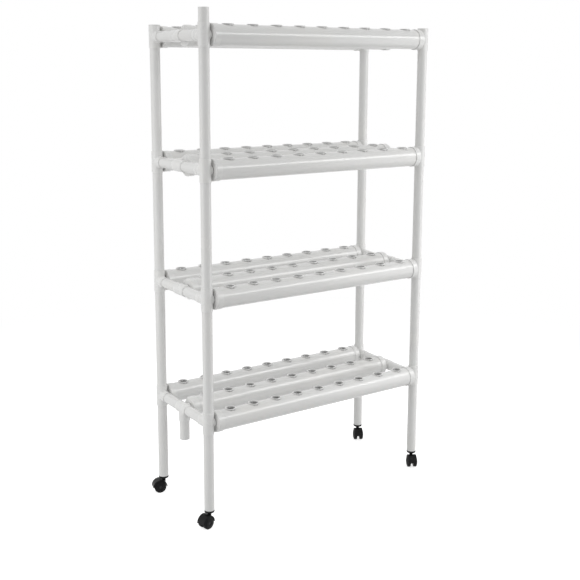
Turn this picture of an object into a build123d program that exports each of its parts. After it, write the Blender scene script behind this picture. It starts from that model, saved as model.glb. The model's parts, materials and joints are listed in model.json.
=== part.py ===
from build123d import *
import os

os.makedirs("parts", exist_ok=True)

# Rolling rack of plastic pipe: four tiers of three growing channels, each channel with a row of
# net cups in its top. Millimetres, +Z up, X along the channels, Y towards the back. The origin is
# on the floor, in the middle of the whole rack's outline.

# Whole frame
post_span_x = 840.0
post_span_y = 310.0
tier_count = 4
tier_pitch = 390.0
leg_reach = 285.0
riser_reach = 77.0
drain_reach = 102.0

# Frame pipe
pipe_r = 16.0
pipe_wall = 2.4
pipe_bore_r = pipe_r - pipe_wall

# Pipe fittings
socket_gap = 0.15
end_gap = 0.3
fitting_wall = 1.85
socket_r = pipe_r + socket_gap
fitting_r = socket_r + fitting_wall
fitting_edge = 0.6
stop_lip = 1.0
stop_bore_r = pipe_bore_r - stop_lip
stop_width = 3.0
corner_stop = pipe_bore_r + stop_width
socket_depth = 18.4
sleeve_half = corner_stop + socket_depth
branch_depth = 25.0
branch_reach = corner_stop + branch_depth

# Nozzle that carries a channel on its fitting, and its rubber seal
nozzle_r = 10.0
nozzle_wall = 2.0
nozzle_bore_r = nozzle_r - nozzle_wall
nozzle_inside = 18.0
shoulder_r = 14.5
shoulder_step = 0.3
shoulder_reach = fitting_r + shoulder_step
seal_gap = 0.2
seal_wall = 2.0
seal_lip = 2.2
seal_flange = 1.4
seal_bore_r = nozzle_r + seal_gap
seal_neck_r = seal_bore_r + seal_wall

# Tees half way between the posts
tee_stop = nozzle_bore_r + stop_width
tee_socket_depth = 19.0
tee_half = tee_stop + tee_socket_depth
drain_branch_depth = 23.0
drain_branch_reach = corner_stop + drain_branch_depth

# Plug in an unused top socket
plug_flange = 2.0
plug_depth = 14.0
plug_wall = 2.2

# Growing channels
row_count = 3
row_pitch = post_span_y / (row_count - 1)
channel_r = 31.5
channel_wall = 2.5
cap_gap = 0.2
cap_wall = 1.8
cap_end = 3.0
cap_depth = 16.0
cap_edge_r = 3.0
cap_inner_edge_r = 1.5
cap_hole_r = seal_neck_r + seal_gap
cap_r = channel_r + cap_gap + cap_wall
cap_face = shoulder_reach + end_gap + seal_flange
cap_length = cap_end + cap_inner_edge_r + end_gap + cap_depth
channel_start = cap_face + cap_end + cap_inner_edge_r + end_gap
channel_half = post_span_x / 2 - channel_start
nozzle_reach = cap_face + cap_end + nozzle_inside

# Net cups
hole_pitch = 85.0
hole_r = 15.5
cup_gap = 0.5
cup_seat_gap = 0.3
cup_wall = 1.2
cup_r = hole_r - cup_gap
cup_taper = 4.0
cup_floor_clear = 15.0
rim_overlap = 2.1
rim_r = hole_r + rim_overlap
rim_height = 1.8
rim_edge = 0.6
slot_count = 10
slot_width = 3.8
slot_floor_land = 5.0
slot_rim_land = 2.5
floor_hole_r = 3.5
rim_clear = 3.0
rim_bottom = channel_r + cup_seat_gap
rim_top = rim_bottom + rim_height
cup_bottom = cup_floor_clear - (channel_r - channel_wall)
hole_span = 2 * (channel_half - cap_depth - rim_r - rim_clear)
hole_count = int(hole_span // hole_pitch) + 1

# Twin-wheel casters
wheel_r = 20.0
tread_width = 10.3
dome_height = 3.8
wheel_edge_r = 2.6
groove_r = 15.4
groove_width = 1.2
groove_rise = 0.9
hub_r = 8.0
hub_recess_r = 6.0
hub_recess = 3.0
web_width = 9.0
side_gap = 0.5
axle_r = 2.5
axle_head_r = 4.5
axle_head = 1.2
press_gap = 0.02
running_gap = 0.08
hood_gap = 1.6
hood_wall = 2.4
hood_width = 30.6
hood_edge = 0.8
trail = 15.0
boss_r = 6.0
neck_height = 4.0
swivel_gap = 0.3
stem_r = 4.0
stem_seat = 11.0
stem_top_gap = 1.0
stem_edge = 0.6
bowl_r = pipe_r + socket_gap
bowl_height = 8.0
bowl_band = 4.5
bowl_foot_r = 8.0
insert_depth = 32.0
insert_roof = 3.0
hood_r = wheel_r + hood_gap + hood_wall
boss_top = wheel_r + hood_r + neck_height
bowl_foot = boss_top + swivel_gap
caster_height = bowl_foot + bowl_height
wheel_inner = web_width / 2 + side_gap
tread_outer = wheel_inner + tread_width
wheel_outer = tread_outer + dome_height
insert_r = pipe_bore_r - socket_gap
stem_bottom = boss_top - stem_seat
stem_top = caster_height + insert_depth - insert_roof - stem_top_gap

# Where each caster trails, in degrees about +Z from +X
caster_turns = {"front_left": 193.0, "back_left": 165.0, "front_right": 239.0, "back_right": 240.0}

# One fitting shape serves all four corners: these turns point its two branches inwards
corner_turns = {
    "front_left": (0, 0, 0),
    "back_left": (180, 0, 0),
    "front_right": (0, 180, 0),
    "back_right": (0, 0, 180),
}


def rod(plane, radius, start, end, mode=Mode.ADD):
    """Round bar along a plane's normal, between two distances from that plane."""
    with BuildSketch(plane.offset(start)) as section:
        Circle(radius)
    extrude(section.sketch, amount=end - start, mode=mode)


def bore(plane, radius, start, end):
    """Round hole along a plane's normal."""
    rod(plane, radius, start, end, Mode.SUBTRACT)


def save(name, *pieces):
    """Write one node: its solids lie side by side and stay separate."""
    with BuildPart() as node:
        add(pieces)
    node.part.label = name
    export_step(node.part, f"parts/{name}.step")


def placed(piece, places):
    """Copies of one piece, one at each place."""
    return [piece.moved(place) for place in places]


def pipe_along_z(x, y, bottom, top):
    with BuildPart() as pipe:
        with BuildSketch(Plane((x, y, bottom))):
            Circle(pipe_r)
            Circle(pipe_bore_r, mode=Mode.SUBTRACT)
        extrude(amount=top - bottom)
    return pipe.part


def pipe_along_y(x, z, front, back):
    with BuildPart() as pipe:
        with BuildSketch(Plane((x, front, z), x_dir=(1, 0, 0), z_dir=(0, 1, 0))):
            Circle(pipe_r)
            Circle(pipe_bore_r, mode=Mode.SUBTRACT)
        extrude(amount=back - front)
    return pipe.part


# Corner fitting: a sleeve for the posts, a branch for the cross pipe and a nozzle for the channel
with BuildPart() as corner_fitting:
    rod(Plane.XY, fitting_r, -sleeve_half, sleeve_half)
    rod(Plane.ZX, fitting_r, 0, branch_reach)
    rims = corner_fitting.edges().filter_by(GeomType.CIRCLE).group_by(SortBy.RADIUS)[-1]
    fillet(rims, fitting_edge)
    rod(Plane.YZ, shoulder_r, 0, shoulder_reach)
    rod(Plane.YZ, nozzle_r, 0, nozzle_reach)
    bore(Plane.XY, stop_bore_r, -sleeve_half, sleeve_half)
    bore(Plane.XY, socket_r, corner_stop, sleeve_half)
    bore(Plane.XY, socket_r, -sleeve_half, -corner_stop)
    bore(Plane.ZX, stop_bore_r, 0, branch_reach)
    bore(Plane.ZX, socket_r, corner_stop, branch_reach)
    bore(Plane.YZ, nozzle_bore_r, 0, nozzle_reach)


# Tee half way along the cross pipes: a sleeve with a nozzle for the middle channel
with BuildPart() as middle_tee:
    rod(Plane.ZX, fitting_r, -tee_half, tee_half)
    fillet(middle_tee.edges().filter_by(GeomType.CIRCLE), fitting_edge)
    rod(Plane.YZ, shoulder_r, 0, shoulder_reach)
    rod(Plane.YZ, nozzle_r, 0, nozzle_reach)
    bore(Plane.ZX, stop_bore_r, -tee_half, tee_half)
    bore(Plane.ZX, socket_r, tee_stop, tee_half)
    bore(Plane.ZX, socket_r, -tee_half, -tee_stop)
    bore(Plane.YZ, nozzle_bore_r, 0, nozzle_reach)


# The same tee with a socket below for the drain pipe
with BuildPart() as drain_tee:
    rod(Plane.ZX, fitting_r, -tee_half, tee_half)
    rod(Plane.XY, fitting_r, -drain_branch_reach, 0)
    rims = drain_tee.edges().filter_by(GeomType.CIRCLE).group_by(SortBy.RADIUS)[-1]
    fillet(rims, fitting_edge)
    rod(Plane.YZ, shoulder_r, 0, shoulder_reach)
    rod(Plane.YZ, nozzle_r, 0, nozzle_reach)
    bore(Plane.ZX, stop_bore_r, -tee_half, tee_half)
    bore(Plane.ZX, socket_r, tee_stop, tee_half)
    bore(Plane.ZX, socket_r, -tee_half, -tee_stop)
    bore(Plane.XY, nozzle_bore_r, -drain_branch_reach, 0)
    bore(Plane.XY, socket_r, -drain_branch_reach, -corner_stop)
    bore(Plane.YZ, nozzle_bore_r, 0, nozzle_reach)


# Plug that closes the top socket of a corner with no riser
with BuildPart() as top_plug:
    rod(Plane.XY, fitting_r, sleeve_half, sleeve_half + plug_flange)
    fillet(top_plug.edges().sort_by(Axis.Z)[-1], fitting_edge)
    rod(Plane.XY, pipe_r, sleeve_half - plug_depth, sleeve_half)
    bore(Plane.XY, pipe_r - plug_wall, sleeve_half - plug_depth, sleeve_half)


# The hollow of an end cap
with BuildPart() as cap_hollow:
    rod(Plane.YZ, channel_r + cap_gap, cap_face + cap_end, cap_face + cap_length)
    fillet(cap_hollow.edges().sort_by(Axis.X)[0], cap_inner_edge_r)


# End cap, open towards +X, with a hole for the seal
with BuildPart() as end_cap:
    rod(Plane.YZ, cap_r, cap_face, cap_face + cap_length)
    fillet(end_cap.edges().sort_by(Axis.X)[0], cap_edge_r)
    add(cap_hollow.part, mode=Mode.SUBTRACT)
    bore(Plane.YZ, cap_hole_r, cap_face, cap_face + cap_end)


# Rubber seal around the nozzle, gripping the cap's wall between its flange and its lip
with BuildPart() as seal:
    rod(Plane.YZ, seal_neck_r + seal_lip, cap_face - seal_flange, cap_face)
    rod(Plane.YZ, seal_neck_r, cap_face, cap_face + cap_end)
    rod(Plane.YZ, seal_neck_r + seal_lip, cap_face + cap_end, cap_face + cap_end + seal_flange)
    bore(Plane.YZ, seal_bore_r, cap_face - seal_flange, cap_face + cap_end + seal_flange)


# Growing channel about the X axis, with its row of cup holes in the top
with BuildPart() as channel:
    with BuildSketch(Plane.YZ.offset(-channel_half)):
        Circle(channel_r)
        Circle(channel_r - channel_wall, mode=Mode.SUBTRACT)
    extrude(amount=2 * channel_half)
    with BuildSketch(Plane.XY):
        with GridLocations(hole_pitch, hole_pitch, hole_count, 1):
            Circle(hole_r)
    extrude(amount=channel_r, mode=Mode.SUBTRACT)


# Net cup about the Z axis, at the height where its rim rests on a channel
with BuildPart() as net_cup:
    with BuildSketch(Plane.XZ):
        with BuildLine():
            Polyline(
                (0, cup_bottom),
                (cup_r - cup_taper, cup_bottom),
                (cup_r, rim_bottom),
                (rim_r, rim_bottom),
                (rim_r, rim_top),
                (cup_r - cup_wall, rim_top),
                (cup_r - cup_taper - cup_wall, cup_bottom + cup_wall),
                (0, cup_bottom + cup_wall),
                close=True,
            )
        make_face()
    revolve(axis=Axis.Z)
    fillet(net_cup.edges().group_by(Axis.Z)[-1].sort_by(SortBy.RADIUS)[-1], rim_edge)
    slot_bottom = cup_bottom + cup_wall + slot_floor_land
    with BuildSketch(Plane.XY.offset(slot_bottom)):
        with PolarLocations(cup_r - cup_taper, slot_count):
            Rectangle(2 * cup_taper + 2 * cup_wall, slot_width)
    extrude(amount=rim_bottom - slot_rim_land - slot_bottom, mode=Mode.SUBTRACT)
    bore(Plane.XY, floor_hole_r, cup_bottom, cup_bottom + cup_wall)


# Caster housing, trailing along +X from its swivel axis: hood, web, hub and stem boss
hood_round = Plane((trail, 0, wheel_r), x_dir=(1, 0, 0), z_dir=(0, 1, 0))
with BuildPart() as caster_housing:
    with BuildSketch(Plane((trail, -hood_width / 2, wheel_r), x_dir=(-1, 0, 0), z_dir=(0, 1, 0))):
        with BuildLine():
            CenterArc((0, 0), hood_r, 0, 180)
            Line((-hood_r, 0), (hood_r, 0))
        make_face()
    extrude(amount=hood_width)
    sides = caster_housing.edges().filter_by(GeomType.CIRCLE)
    fillet(sides, hood_edge)
    rod(Plane.XY, boss_r, wheel_r, boss_top)
    for near, far in ((-hood_width, -web_width / 2), (web_width / 2, hood_width)):
        bore(hood_round, hood_r - hood_wall, near, far)
    rod(hood_round, hub_r, -web_width / 2, web_width / 2)
    bore(hood_round, axle_r + press_gap, -web_width / 2, web_width / 2)
    bore(Plane.XY, stem_r + press_gap, stem_bottom, boss_top)


# Wheel on the +Y side of the web, with a domed outer face and a ring groove in it
wheel_bore_r = axle_r + running_gap
with BuildPart() as caster_wheel:
    with BuildSketch(Plane((trail, 0, wheel_r))):
        with BuildLine():
            TangentArc((hub_recess_r, wheel_outer), (wheel_r, tread_outer), tangent=(1, 0))
            Polyline(
                (wheel_r, tread_outer),
                (wheel_r, wheel_inner),
                (wheel_bore_r, wheel_inner),
                (wheel_bore_r, wheel_outer - hub_recess),
                (hub_recess_r, wheel_outer - hub_recess),
                (hub_recess_r, wheel_outer),
            )
        make_face()
    revolve(axis=Axis((trail, 0, wheel_r), (0, 1, 0)))
    tread = caster_wheel.faces().filter_by(GeomType.CYLINDER).sort_by(SortBy.AREA)[-1]
    fillet(tread.edges().filter_by(GeomType.CIRCLE), wheel_edge_r)
    with BuildSketch(hood_round.offset(tread_outer + groove_rise)):
        Circle(groove_r + groove_width / 2)
        Circle(groove_r - groove_width / 2, mode=Mode.SUBTRACT)
    extrude(amount=dome_height, mode=Mode.SUBTRACT)


# Axle with a head at each end
head_start = wheel_outer - hub_recess + end_gap
with BuildPart() as caster_axle:
    rod(hood_round, axle_r, -head_start, head_start)
    rod(hood_round, axle_head_r, head_start, head_start + axle_head)
    rod(hood_round, axle_head_r, -head_start - axle_head, -head_start)


# Swivel stem, pressed into the housing's boss
with BuildPart() as caster_stem:
    rod(Plane.XY, stem_r, stem_bottom + end_gap, stem_top)
    chamfer(caster_stem.edges().sort_by(Axis.Z)[-1], stem_edge)


# Insert in the foot of a post: a plug in the pipe with a bowl below it
bowl_top = caster_height - end_gap
with BuildPart() as caster_insert:
    with BuildSketch(Plane.XZ):
        with BuildLine():
            Line((0, bowl_foot), (bowl_foot_r, bowl_foot))
            Spline(
                (bowl_foot_r, bowl_foot),
                (bowl_r, bowl_top - bowl_band),
                tangents=((1, 0), (0, 1)),
            )
            Polyline(
                (bowl_r, bowl_top - bowl_band),
                (bowl_r, bowl_top),
                (insert_r, bowl_top),
                (insert_r, caster_height + insert_depth),
                (0, caster_height + insert_depth),
                (0, bowl_foot),
            )
        make_face()
    revolve(axis=Axis.Z)
    bore(Plane.XY, stem_r + running_gap, bowl_foot, caster_height + insert_depth - insert_roof)


# The rack's outline at the floor is set by the casters: centre it on the origin
corners = {
    "front_left": (-post_span_x / 2, -post_span_y / 2),
    "back_left": (-post_span_x / 2, post_span_y / 2),
    "front_right": (post_span_x / 2, -post_span_y / 2),
    "back_right": (post_span_x / 2, post_span_y / 2),
}
wheel_turn = Location((2 * trail, 0, 0), (0, 0, 180))
caster_outline = [caster_housing.part, caster_wheel.part, caster_wheel.part.moved(wheel_turn)]
outlines = [
    piece.moved(Location((x, y, 0), (0, 0, caster_turns[corner]))).bounding_box()
    for corner, (x, y) in corners.items()
    for piece in caster_outline
]
middle_x = -(min(box.min.X for box in outlines) + max(box.max.X for box in outlines)) / 2
middle_y = -(min(box.min.Y for box in outlines) + max(box.max.Y for box in outlines)) / 2
corners = {corner: (x + middle_x, y + middle_y) for corner, (x, y) in corners.items()}
left_x, right_x = (middle_x - post_span_x / 2, middle_x + post_span_x / 2)
rows_y = [middle_y + row_pitch * (row - (row_count - 1) / 2) for row in range(row_count)]
row_names = ("front", "middle", "back")
tiers_z = [caster_height + leg_reach + tier_pitch * (tier_count - 1 - tier) for tier in range(tier_count)]

# Posts: a leg and one upright between each two tiers, and at the front left the inlet riser
for corner, (x, y) in corners.items():
    pieces = [pipe_along_z(x, y, caster_height, tiers_z[-1] - corner_stop - end_gap)]
    for upper, lower in zip(tiers_z, tiers_z[1:]):
        ends = (lower + corner_stop + end_gap, upper - corner_stop - end_gap)
        pieces.append(pipe_along_z(x, y, *ends))
    save(f"post_{corner}", *pieces)

riser_x, riser_y = corners["front_left"]
riser_ends = (tiers_z[0] + corner_stop + end_gap, tiers_z[0] + riser_reach)
save("inlet_riser", pipe_along_z(riser_x, riser_y, *riser_ends))

plug_corners = [corner for corner in corners if corner != "front_left"]
plug_places = [Location((*corners[corner], tiers_z[0])) for corner in plug_corners]
save("top_plugs", *placed(top_plug.part, plug_places))

# Cross pipes, between each corner and the tee half way
near, far = (tee_stop + end_gap, post_span_y / 2 - corner_stop - end_gap)
for side, x in (("left", left_x), ("right", right_x)):
    pieces = [pipe_along_y(x, z, middle_y - far, middle_y - near) for z in tiers_z]
    pieces += [pipe_along_y(x, z, middle_y + near, middle_y + far) for z in tiers_z]
    save(f"{side}_cross_pipes", *pieces)

# Tiers, numbered from the top
seal_places = []
for tier, z in enumerate(tiers_z, start=1):
    corner_places = [Location((*corners[corner], z), turn) for corner, turn in corner_turns.items()]
    save(f"tier{tier}_corner_fittings", *placed(corner_fitting.part, corner_places))

    left_tee = drain_tee.part if tier == tier_count else middle_tee.part
    right_place = Location((right_x, middle_y, z), (0, 0, 180))
    save(
        f"tier{tier}_middle_tees",
        left_tee.moved(Location((left_x, middle_y, z))),
        middle_tee.part.moved(right_place),
    )

    end_places = [Location((left_x, y, z)) for y in rows_y]
    end_places += [Location((right_x, y, z), (0, 0, 180)) for y in rows_y]
    save(f"tier{tier}_end_caps", *placed(end_cap.part, end_places))
    seal_places += end_places

    for row, y in zip(row_names, rows_y):
        save(f"tier{tier}_channel_{row}", channel.part.moved(Location((middle_x, y, z))))

    holes_x = [middle_x + hole_pitch * (hole - (hole_count - 1) / 2) for hole in range(hole_count)]
    cup_places = [Location((x, y, z)) for y in rows_y for x in holes_x]
    save(f"tier{tier}_net_cups", *placed(net_cup.part, cup_places))

save("nozzle_seals", *placed(seal.part, seal_places))

drain_ends = (tiers_z[-1] - drain_reach, tiers_z[-1] - corner_stop - end_gap)
save("drain_pipe", pipe_along_z(left_x, middle_y, *drain_ends))

# Casters
for corner, (x, y) in corners.items():
    place = Location((x, y, 0), (0, 0, caster_turns[corner]))
    save(f"caster_{corner}_housing", caster_housing.part.moved(place))
    save(f"caster_{corner}_stem", caster_stem.part.moved(place))
    save(f"caster_{corner}_axle", caster_axle.part.moved(place))
    save(f"caster_{corner}_wheel_a", caster_wheel.part.moved(place))
    save(f"caster_{corner}_wheel_b", caster_wheel.part.moved(place * wheel_turn))

insert_places = [Location((x, y, 0)) for x, y in corners.values()]
save("caster_inserts", *placed(caster_insert.part, insert_places))

print("tier axes", [round(z, 2) for z in tiers_z], "middle", round(middle_x, 3), round(middle_y, 3))
print("holes per channel", hole_count, "caster height", round(caster_height, 2))
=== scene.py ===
import json
import math

import bpy
from mathutils import Matrix, Vector


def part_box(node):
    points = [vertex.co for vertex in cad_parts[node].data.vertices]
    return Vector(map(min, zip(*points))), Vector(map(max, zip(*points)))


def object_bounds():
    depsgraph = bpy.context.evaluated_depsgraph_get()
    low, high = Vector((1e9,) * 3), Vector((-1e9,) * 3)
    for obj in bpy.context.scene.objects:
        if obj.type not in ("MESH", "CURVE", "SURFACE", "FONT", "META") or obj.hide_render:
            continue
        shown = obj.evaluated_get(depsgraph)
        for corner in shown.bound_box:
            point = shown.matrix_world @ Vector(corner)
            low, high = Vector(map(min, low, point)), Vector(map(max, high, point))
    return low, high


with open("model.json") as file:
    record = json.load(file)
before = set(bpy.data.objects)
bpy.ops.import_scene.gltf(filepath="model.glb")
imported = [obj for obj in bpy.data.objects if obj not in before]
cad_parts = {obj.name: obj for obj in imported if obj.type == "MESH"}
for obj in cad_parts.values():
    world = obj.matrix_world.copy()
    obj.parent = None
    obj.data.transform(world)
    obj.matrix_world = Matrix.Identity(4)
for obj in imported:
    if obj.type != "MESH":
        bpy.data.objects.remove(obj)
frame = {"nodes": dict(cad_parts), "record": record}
cad_low, cad_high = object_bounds()

# Looks of a rolling rack of white plastic pipe with four tiers of growing channels. Metres, in the
# same frame as the solids: +Z up, X along the channels, Y towards the back.

nodes = frame["nodes"]
slot_of_node = {part["node"]: part["material_slot"] for part in frame["record"]["subparts"]}
rack_top = cad_high.z
posts_middle = (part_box("post_front_left")[0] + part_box("post_back_right")[1]) / 2
posts_middle.z = 0

# The picture's own frame, and the viewpoint, which is placed from the middle of the four posts
picture_size = 580
focal_pixels = 956.5
principal_row = 240.0
sensor_width = 36.0
camera_place = Vector((-1.8059, -2.5955, 1.4278))
camera_yaw = math.radians(34.679)
camera_pitch = math.radians(10.389)
camera_roll = math.radians(0.233)


def make_camera():
    """Camera at the photograph's viewing angle: yaw from +Y towards +X, then pitch down, then roll."""
    ahead = Vector((math.sin(camera_yaw), math.cos(camera_yaw), 0))
    right = Vector((math.cos(camera_yaw), -math.sin(camera_yaw), 0))
    up = Vector((0, 0, 1))
    look = math.cos(camera_pitch) * ahead - math.sin(camera_pitch) * up
    top = math.sin(camera_pitch) * ahead + math.cos(camera_pitch) * up
    right, top = (
        math.cos(camera_roll) * right + math.sin(camera_roll) * top,
        math.cos(camera_roll) * top - math.sin(camera_roll) * right,
    )
    data = bpy.data.cameras.new("camera")
    data.sensor_width = sensor_width
    data.lens = focal_pixels * sensor_width / picture_size
    data.shift_y = (principal_row - picture_size / 2) / picture_size
    camera = bpy.data.objects.new("camera", data)
    turn = Matrix((right, top, -look)).transposed().to_4x4()
    camera.matrix_world = Matrix.Translation(posts_middle + camera_place) @ turn
    bpy.context.scene.collection.objects.link(camera)
    bpy.context.scene.camera = camera


class Surface:
    """A procedural material: short calls add texture nodes to its Principled shader."""

    def __init__(self, name, colour, roughness, metallic=0.0, specular=0.5):
        self.material = bpy.data.materials.new(name)
        self.material.use_nodes = True
        self.tree = self.material.node_tree
        self.shader = self.tree.nodes["Principled BSDF"]
        self.shader.inputs["Base Color"].default_value = (*colour, 1)
        self.shader.inputs["Roughness"].default_value = roughness
        self.shader.inputs["Metallic"].default_value = metallic
        self.shader.inputs["Specular IOR Level"].default_value = specular
        self.place = self.node("ShaderNodeTexCoord").outputs["Object"]

    def node(self, kind, **settings):
        made = self.tree.nodes.new(kind)
        for name, value in settings.items():
            setattr(made, name, value)
        return made

    def link(self, output, target):
        self.tree.links.new(output, target)

    def mapped(self, scale, turn=(0, 0, 0)):
        """Object coordinates, stretched and turned."""
        mapping = self.node("ShaderNodeMapping")
        mapping.inputs["Scale"].default_value = scale
        mapping.inputs["Rotation"].default_value = turn
        self.link(self.place, mapping.inputs["Vector"])
        return mapping.outputs["Vector"]

    def noise(self, scale, detail=3.0, roughness=0.5, stretch=(1, 1, 1)):
        """Noise from 0 to 1, with this many bumps a metre."""
        texture = self.node("ShaderNodeTexNoise")
        texture.inputs["Scale"].default_value = scale
        texture.inputs["Detail"].default_value = detail
        texture.inputs["Roughness"].default_value = roughness
        self.link(self.mapped(stretch), texture.inputs["Vector"])
        return texture.outputs["Fac"]

    def ramp(self, value, low, high, to_low=0.0, to_high=1.0):
        """A value taken smoothly from one range to another."""
        spread = self.node("ShaderNodeMapRange", interpolation_type="SMOOTHSTEP")
        for name, number in zip(("From Min", "From Max", "To Min", "To Max"), (low, high, to_low, to_high)):
            spread.inputs[name].default_value = number
        self.link(value, spread.inputs["Value"])
        return spread.outputs["Result"]

    def math(self, operation, *values):
        made = self.node("ShaderNodeMath", operation=operation)
        for socket, value in zip(made.inputs, values):
            if isinstance(value, (int, float)):
                socket.default_value = value
            else:
                self.link(value, socket)
        return made.outputs["Value"]

    def tint(self, factor, colour):
        """Mix the surface's colour towards another where factor is high."""
        mix = self.node("ShaderNodeMix", data_type="RGBA")
        self.link(factor, mix.inputs["Factor"])
        source = self.shader.inputs["Base Color"]
        if source.links:
            self.link(source.links[0].from_socket, mix.inputs["A"])
        else:
            mix.inputs["A"].default_value = source.default_value
        mix.inputs["B"].default_value = (*colour, 1)
        self.link(mix.outputs["Result"], source)

    def rough(self, value):
        self.link(value, self.shader.inputs["Roughness"])

    def bump(self, height, depth, strength=1.0):
        """Relief of this depth in metres, on top of any given before."""
        relief = self.node("ShaderNodeBump")
        relief.inputs["Distance"].default_value = depth
        relief.inputs["Strength"].default_value = strength
        self.link(height, relief.inputs["Height"])
        normal = self.shader.inputs["Normal"]
        if normal.links:
            self.link(normal.links[0].from_socket, relief.inputs["Normal"])
        self.link(relief.outputs["Normal"], normal)


# Colours, as the share of light that each surface returns
white_pipe = (0.80, 0.80, 0.79)
white_fitting = (0.82, 0.82, 0.81)
white_channel = (0.79, 0.79, 0.78)
white_cup = (0.78, 0.78, 0.77)
dust_grey = (0.60, 0.59, 0.57)
warm_white = (0.80, 0.785, 0.75)
# Grey painted inside the net cups below the rim: painted shade, not a colour of the plastic
painted_cup_shade = (0.46, 0.46, 0.46)
black_plastic = (0.007, 0.007, 0.0075)
black_wheel = (0.006, 0.006, 0.0065)
scuff_grey = (0.04, 0.039, 0.037)
seal_grey = (0.22, 0.22, 0.22)
zinc = (0.62, 0.62, 0.63)
black_oxide = (0.035, 0.035, 0.037)
plain_white = (1, 1, 1, 1)

# Roughness of each finish
channel_gloss = 0.16
pipe_gloss = 0.22
moulding_gloss = 0.26
cup_gloss = 0.38
cup_gloss_range = (0.32, 0.46)
caster_gloss = 0.32
wheel_gloss = 0.45
zinc_gloss = 0.28
oxide_gloss = 0.42
rubber_gloss = 0.75
floor_gloss = 0.7

# Share of the usual mirror reflection that the dull surfaces keep
black_specular = 0.14
rubber_specular = 0.3
floor_specular = 0.1

# Bumps a metre in each texture
die_line_scale = 900
pipe_cloud_scale = 7
pipe_speckle_scale = 1400
pipe_wave_scale = 60
flow_scale = 22
peel_scale = 700
dust_scale = 1800
sink_mark_scale = 90
ripple_scale = 260
grain_scale = 2600
rub_scale = 120
scratch_scale = 500
bloom_scale = 300
pore_scale = 1500
tarnish_scale = 150
turning_scale = 2200

# Stretch of a texture: less than 1 draws its marks out along that direction, or along the pipe
die_line_stretch = 0.004
scratch_stretch = (0.15, 1.0, 1.0)
turning_stretch = (0.2, 0.2, 1.0)

# Depths of relief
die_line_depth = 0.00002
wave_depth = 0.00008
peel_depth = 0.00003
grain_depth = 0.00004
turning_depth = 0.00001

# Height over the floor up to which the casters are dusty, and how bright tarnished steel stays
dusty_height = 0.022
tarnished_share = 0.7

# Net cups: their rims' radius, the middle of their walls at the top and at the foot, the middle of
# their floor, and how far below the rim the painted shade inside them starts and is darkest
cups_along = 9
cups_across = 3
cup_rim_r = 0.0176
cup_wall_r = 0.0144
cup_foot_r = 0.0104
cup_floor_middle = 0.0006
painted_shade_start = 0.001
painted_shade_end = 0.006


def drawn_pipe(name, colour, axis, gloss):
    """Extruded rigid pipe: fine die lines run along its axis, over slow waves in tone and gloss."""
    surface = Surface(name, colour, gloss)
    along = [1.0, 1.0, 1.0]
    along["XYZ".index(axis)] = die_line_stretch
    lines = surface.noise(die_line_scale, detail=2.0, stretch=tuple(along))
    clouds = surface.noise(pipe_cloud_scale, detail=4.0)
    speckle = surface.noise(pipe_speckle_scale, detail=2.0)
    surface.tint(surface.ramp(clouds, low=0.42, high=0.75, to_high=0.35), warm_white)
    surface.tint(surface.ramp(lines, low=0.62, high=0.80, to_high=0.10), dust_grey)
    surface.tint(surface.ramp(speckle, low=0.70, high=0.78, to_high=0.16), dust_grey)
    cloudy = surface.ramp(clouds, low=0.3, high=0.7, to_low=gloss - 0.03, to_high=gloss + 0.06)
    surface.rough(surface.math("ADD", cloudy, surface.ramp(lines, low=0.5, high=0.8, to_high=0.05)))
    surface.bump(lines, die_line_depth)
    surface.bump(surface.noise(pipe_wave_scale, detail=1.0), wave_depth)
    return surface.material


def moulded_white(name, colour, gloss):
    """Moulded fitting: a faint orange peel, flow marks, and dust that settles in its pores."""
    surface = Surface(name, colour, gloss)
    flow = surface.noise(flow_scale, detail=5.0, roughness=0.6)
    peel = surface.noise(peel_scale, detail=2.0)
    speckle = surface.noise(dust_scale, detail=1.0)
    surface.tint(surface.ramp(flow, low=0.45, high=0.75, to_high=0.3), warm_white)
    surface.tint(surface.ramp(speckle, low=0.70, high=0.78, to_high=0.16), dust_grey)
    surface.rough(surface.ramp(flow, low=0.3, high=0.7, to_low=gloss - 0.04, to_high=gloss + 0.08))
    surface.bump(peel, peel_depth)
    surface.bump(surface.noise(sink_mark_scale, detail=1.0), wave_depth)
    return surface.material


def net_cup(name):
    """Moulded net cups of one tier: a clean white rim, and painted shade that darkens the basket inside."""
    surface = Surface(f"{name}_plastic", white_cup, cup_gloss)
    ripple = surface.noise(ripple_scale, detail=3.0)
    low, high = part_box(name)
    place = surface.node("ShaderNodeSeparateXYZ")
    surface.link(surface.place, place.inputs["Vector"])
    from_axis = surface.node("ShaderNodeCombineXYZ")
    for axis, count in zip("XY", (cups_along, cups_across)):
        first = getattr(low, axis.lower()) + cup_rim_r
        last = getattr(high, axis.lower()) - cup_rim_r
        half_pitch = (last - first) / (count - 1) / 2
        offset = surface.math("SUBTRACT", place.outputs[axis], first)
        offset = surface.math("WRAP", offset, half_pitch, -half_pitch)
        surface.link(offset, from_axis.inputs[axis])
    radius = surface.node("ShaderNodeVectorMath", operation="LENGTH")
    surface.link(from_axis.outputs["Vector"], radius.inputs[0])
    wall = surface.ramp(place.outputs["Z"], low.z, high.z, cup_foot_r, cup_wall_r)
    inside = surface.math("LESS_THAN", radius.outputs["Value"], wall)
    above_floor = surface.math("GREATER_THAN", place.outputs["Z"], low.z + cup_floor_middle)
    inside = surface.math("MULTIPLY", inside, above_floor)
    below_rim = surface.ramp(place.outputs["Z"], high.z - painted_shade_start, high.z - painted_shade_end)
    surface.tint(surface.ramp(ripple, low=0.5, high=0.8, to_high=0.25), warm_white)
    # Painted shade: the inside of each basket below the rim is tinted grey
    surface.tint(surface.math("MULTIPLY", inside, below_rim), painted_cup_shade)
    surface.rough(surface.ramp(ripple, 0.3, 0.7, *cup_gloss_range))
    surface.bump(ripple, grain_depth)
    return surface.material


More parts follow.
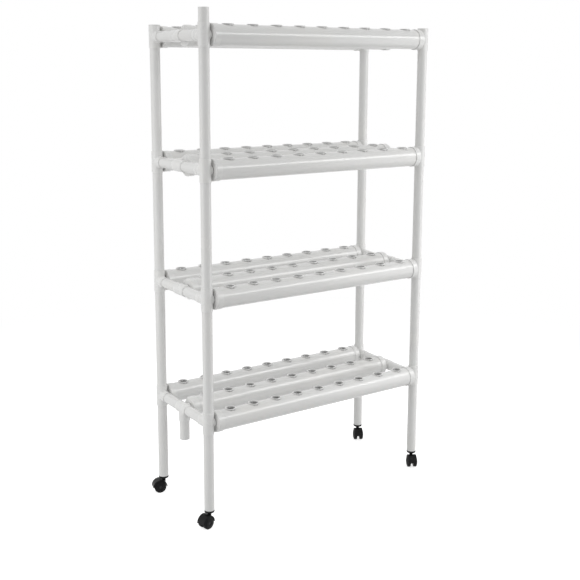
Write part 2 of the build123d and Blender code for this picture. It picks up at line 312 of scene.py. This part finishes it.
def black_moulding(name, colour, gloss):
    """Black caster plastic: spark-eroded grain, dull rubbed patches, and dust low down."""
    surface = Surface(name, colour, gloss, specular=black_specular)
    grain = surface.noise(grain_scale, detail=2.0)
    rub = surface.noise(rub_scale, detail=5.0, roughness=0.65)
    scratch = surface.noise(scratch_scale, detail=3.0, stretch=scratch_stretch)
    height = surface.node("ShaderNodeSeparateXYZ")
    surface.link(surface.place, height.inputs["Vector"])
    low_down = surface.ramp(height.outputs["Z"], low=dusty_height, high=0.0)
    dusty = surface.math("MULTIPLY", low_down, surface.ramp(rub, low=0.4, high=0.7, to_high=0.5))
    surface.tint(dusty, scuff_grey)
    surface.tint(surface.ramp(scratch, low=0.66, high=0.72, to_high=0.25), scuff_grey)
    surface.rough(surface.ramp(rub, low=0.3, high=0.7, to_low=gloss - 0.05, to_high=gloss + 0.12))
    surface.bump(grain, grain_depth)
    return surface.material


def rubber():
    """Soft grey seal rubber with a matt bloom."""
    surface = Surface("rubber", seal_grey, rubber_gloss, specular=rubber_specular)
    bloom = surface.noise(bloom_scale, detail=4.0)
    surface.tint(surface.ramp(bloom, low=0.45, high=0.7, to_high=0.4), dust_grey)
    surface.bump(surface.noise(pore_scale, detail=2.0), grain_depth)
    return surface.material


def steel(name, colour, gloss):
    """Turned steel with a plated or blackened finish: fine rings around each pin, and slow tarnish."""
    surface = Surface(name, colour, gloss, metallic=1.0)
    tarnish = surface.noise(tarnish_scale, detail=4.0)
    turning = surface.noise(turning_scale, detail=1.0, stretch=turning_stretch)
    dulled = tuple(tarnished_share * channel for channel in colour)
    surface.tint(surface.ramp(tarnish, low=0.5, high=0.8, to_high=0.6), dulled)
    surface.rough(surface.ramp(tarnish, low=0.3, high=0.7, to_low=gloss - 0.06, to_high=gloss + 0.10))
    surface.bump(turning, turning_depth)
    return surface.material


def dress(node, material):
    """Give a solid its material; its shape stays as it is."""
    for material_slot in node.material_slots:
        material_slot.material = material
    if not node.material_slots:
        node.data.materials.append(material)


def dress_nodes():
    """Each solid gets the procedural material for its slot, with pipes' die lines along their axis."""
    by_slot = {
        "pvc_fitting": moulded_white("moulded_fitting", white_fitting, moulding_gloss),
        "pvc_cap": moulded_white("moulded_cap", white_pipe, moulding_gloss),
        "pvc_channel": drawn_pipe("channel_pipe", white_channel, "X", channel_gloss),
        "seal_rubber": rubber(),
        "caster_plastic": black_moulding("caster_moulding", black_plastic, caster_gloss),
        "wheel_plastic": black_moulding("wheel_moulding", black_wheel, wheel_gloss),
        "caster_steel": steel("plated_steel", zinc, zinc_gloss),
    }
    upright = drawn_pipe("upright_pipe", white_pipe, "Z", pipe_gloss)
    cross = drawn_pipe("cross_pipe", white_pipe, "Y", pipe_gloss)
    blackened = steel("blackened_steel", black_oxide, oxide_gloss)
    for name, node in nodes.items():
        slot = slot_of_node[name]
        if slot == "cup_plastic":
            dress(node, net_cup(name))
        elif slot == "pvc_pipe":
            dress(node, cross if "cross" in name else upright)
        elif name.endswith("_axle"):
            dress(node, blackened)
        else:
            dress(node, by_slot[slot])


def area_light(name, place, target, width, height, brightness, gloss_only=False):
    """Soft box: its brightness is the light that its face gives off, where 1 is a white surface."""
    data = bpy.data.lights.new(name, "AREA")
    data.shape = "RECTANGLE"
    data.size = width
    data.size_y = height
    data.energy = brightness * math.pi * width * height
    light = bpy.data.objects.new(name, data)
    light.location = place
    light.rotation_euler = (Vector(target) - Vector(place)).to_track_quat("-Z", "Y").to_euler()
    light.visible_camera = False
    light.visible_diffuse = not gloss_only
    bpy.context.scene.collection.objects.link(light)


def background_rays(tree):
    """1 for rays that should meet the white background: from the camera, a mirror or through glass."""
    path = tree.nodes.new("ShaderNodeLightPath")
    total = path.outputs["Is Camera Ray"]
    for name in ("Is Glossy Ray", "Is Transmission Ray"):
        add = tree.nodes.new("ShaderNodeMath")
        add.operation = "MAXIMUM"
        tree.links.new(total, add.inputs[0])
        tree.links.new(path.outputs[name], add.inputs[1])
        total = add.outputs["Value"]
    return total


# Light of the world at and below the horizon and overhead, and how steep a direction counts as overhead
horizon_level = 0.26
zenith_level = 0.80
zenith_height = 0.7

# The floor: its light of its own lifts it to white, and it fades to plain white between two distances
floor_colour = (0.55, 0.55, 0.55)
floor_glow = 0.76
floor_half = 12.0
fade_start = 0.9
fade_end = 2.6

# Soft boxes: place, the X at which each box is aimed, width and height, and brightness
box_size = (1.0, 1.9)
left_box_place, left_box_aim, left_box_brightness = (-1.55, 0.10, 0.95), -0.2, 1.15
right_box_place, right_box_aim, right_box_brightness = (1.25, -1.0, 0.95), 0.3, 1.5
strip_place, strip_size, strip_brightness = (1.65, -2.3, 2.25), (2.6, 0.35), 2.5
edge_size, edge_brightness = (2.8, 0.62), 6.8


def make_world():
    """Pale light that is stronger from above than from the sides, with a plain white background."""
    world = bpy.data.worlds.new("studio")
    world.use_nodes = True
    tree = world.node_tree
    background = tree.nodes["Background"]
    background.inputs["Color"].default_value = plain_white
    direction = tree.nodes.new("ShaderNodeSeparateXYZ")
    tree.links.new(tree.nodes.new("ShaderNodeTexCoord").outputs["Generated"], direction.inputs["Vector"])
    dome = tree.nodes.new("ShaderNodeMapRange")
    dome.inputs["From Max"].default_value = zenith_height
    dome.inputs["To Min"].default_value = horizon_level
    dome.inputs["To Max"].default_value = zenith_level
    tree.links.new(direction.outputs["Z"], dome.inputs["Value"])
    level = tree.nodes.new("ShaderNodeMapRange")
    tree.links.new(dome.outputs["Result"], level.inputs["To Min"])
    level.inputs["To Max"].default_value = 1.0
    tree.links.new(background_rays(tree), level.inputs["Value"])
    tree.links.new(level.outputs["Result"], background.inputs["Strength"])
    bpy.context.scene.world = world


def make_floor():
    """Plain pale floor. Near the rack it keeps the shadow, and further out it turns to plain white."""
    data = bpy.data.meshes.new("floor")
    h = floor_half
    data.from_pydata([(-h, -h, 0), (h, -h, 0), (h, h, 0), (-h, h, 0)], [], [(0, 1, 2, 3)])
    floor = bpy.data.objects.new("floor", data)
    bpy.context.scene.collection.objects.link(floor)
    surface = Surface("floor_paint", floor_colour, floor_gloss, specular=floor_specular)
    tree = surface.tree
    rays = background_rays(tree)
    distance = surface.node("ShaderNodeVectorMath", operation="LENGTH")
    surface.link(surface.place, distance.inputs[0])
    glow = surface.node("ShaderNodeEmission")
    glow.inputs["Color"].default_value = plain_white
    surface.link(surface.math("MULTIPLY", rays, floor_glow), glow.inputs["Strength"])
    near = surface.node("ShaderNodeAddShader")
    surface.link(surface.shader.outputs["BSDF"], near.inputs[0])
    surface.link(glow.outputs["Emission"], near.inputs[1])
    white = surface.node("ShaderNodeEmission")
    white.inputs["Color"].default_value = plain_white
    white.inputs["Strength"].default_value = 1.0
    far = surface.node("ShaderNodeMixShader")
    fade = surface.math("MULTIPLY", rays, surface.ramp(distance.outputs["Value"], fade_start, fade_end))
    surface.link(fade, far.inputs["Fac"])
    surface.link(near.outputs["Shader"], far.inputs[1])
    surface.link(white.outputs["Emission"], far.inputs[2])
    surface.link(far.outputs["Shader"], tree.nodes["Material Output"].inputs["Surface"])
    data.materials.append(surface.material)


def light_studio():
    """Tall soft boxes at both ends of the rack, and a strip high in front with an edge seen in gloss only."""
    middle = rack_top / 2
    area_light("left_box", left_box_place, (left_box_aim, 0, middle), *box_size, left_box_brightness)
    area_light("right_box", right_box_place, (right_box_aim, 0, middle), *box_size, right_box_brightness)
    area_light("front_strip", strip_place, (0, 0, middle), *strip_size, strip_brightness)
    area_light("front_edge", strip_place, (0, 0, middle), *edge_size, edge_brightness, gloss_only=True)


make_camera()
dress_nodes()
make_world()
make_floor()
light_studio()
bpy.context.scene.view_settings.view_transform = "Standard"
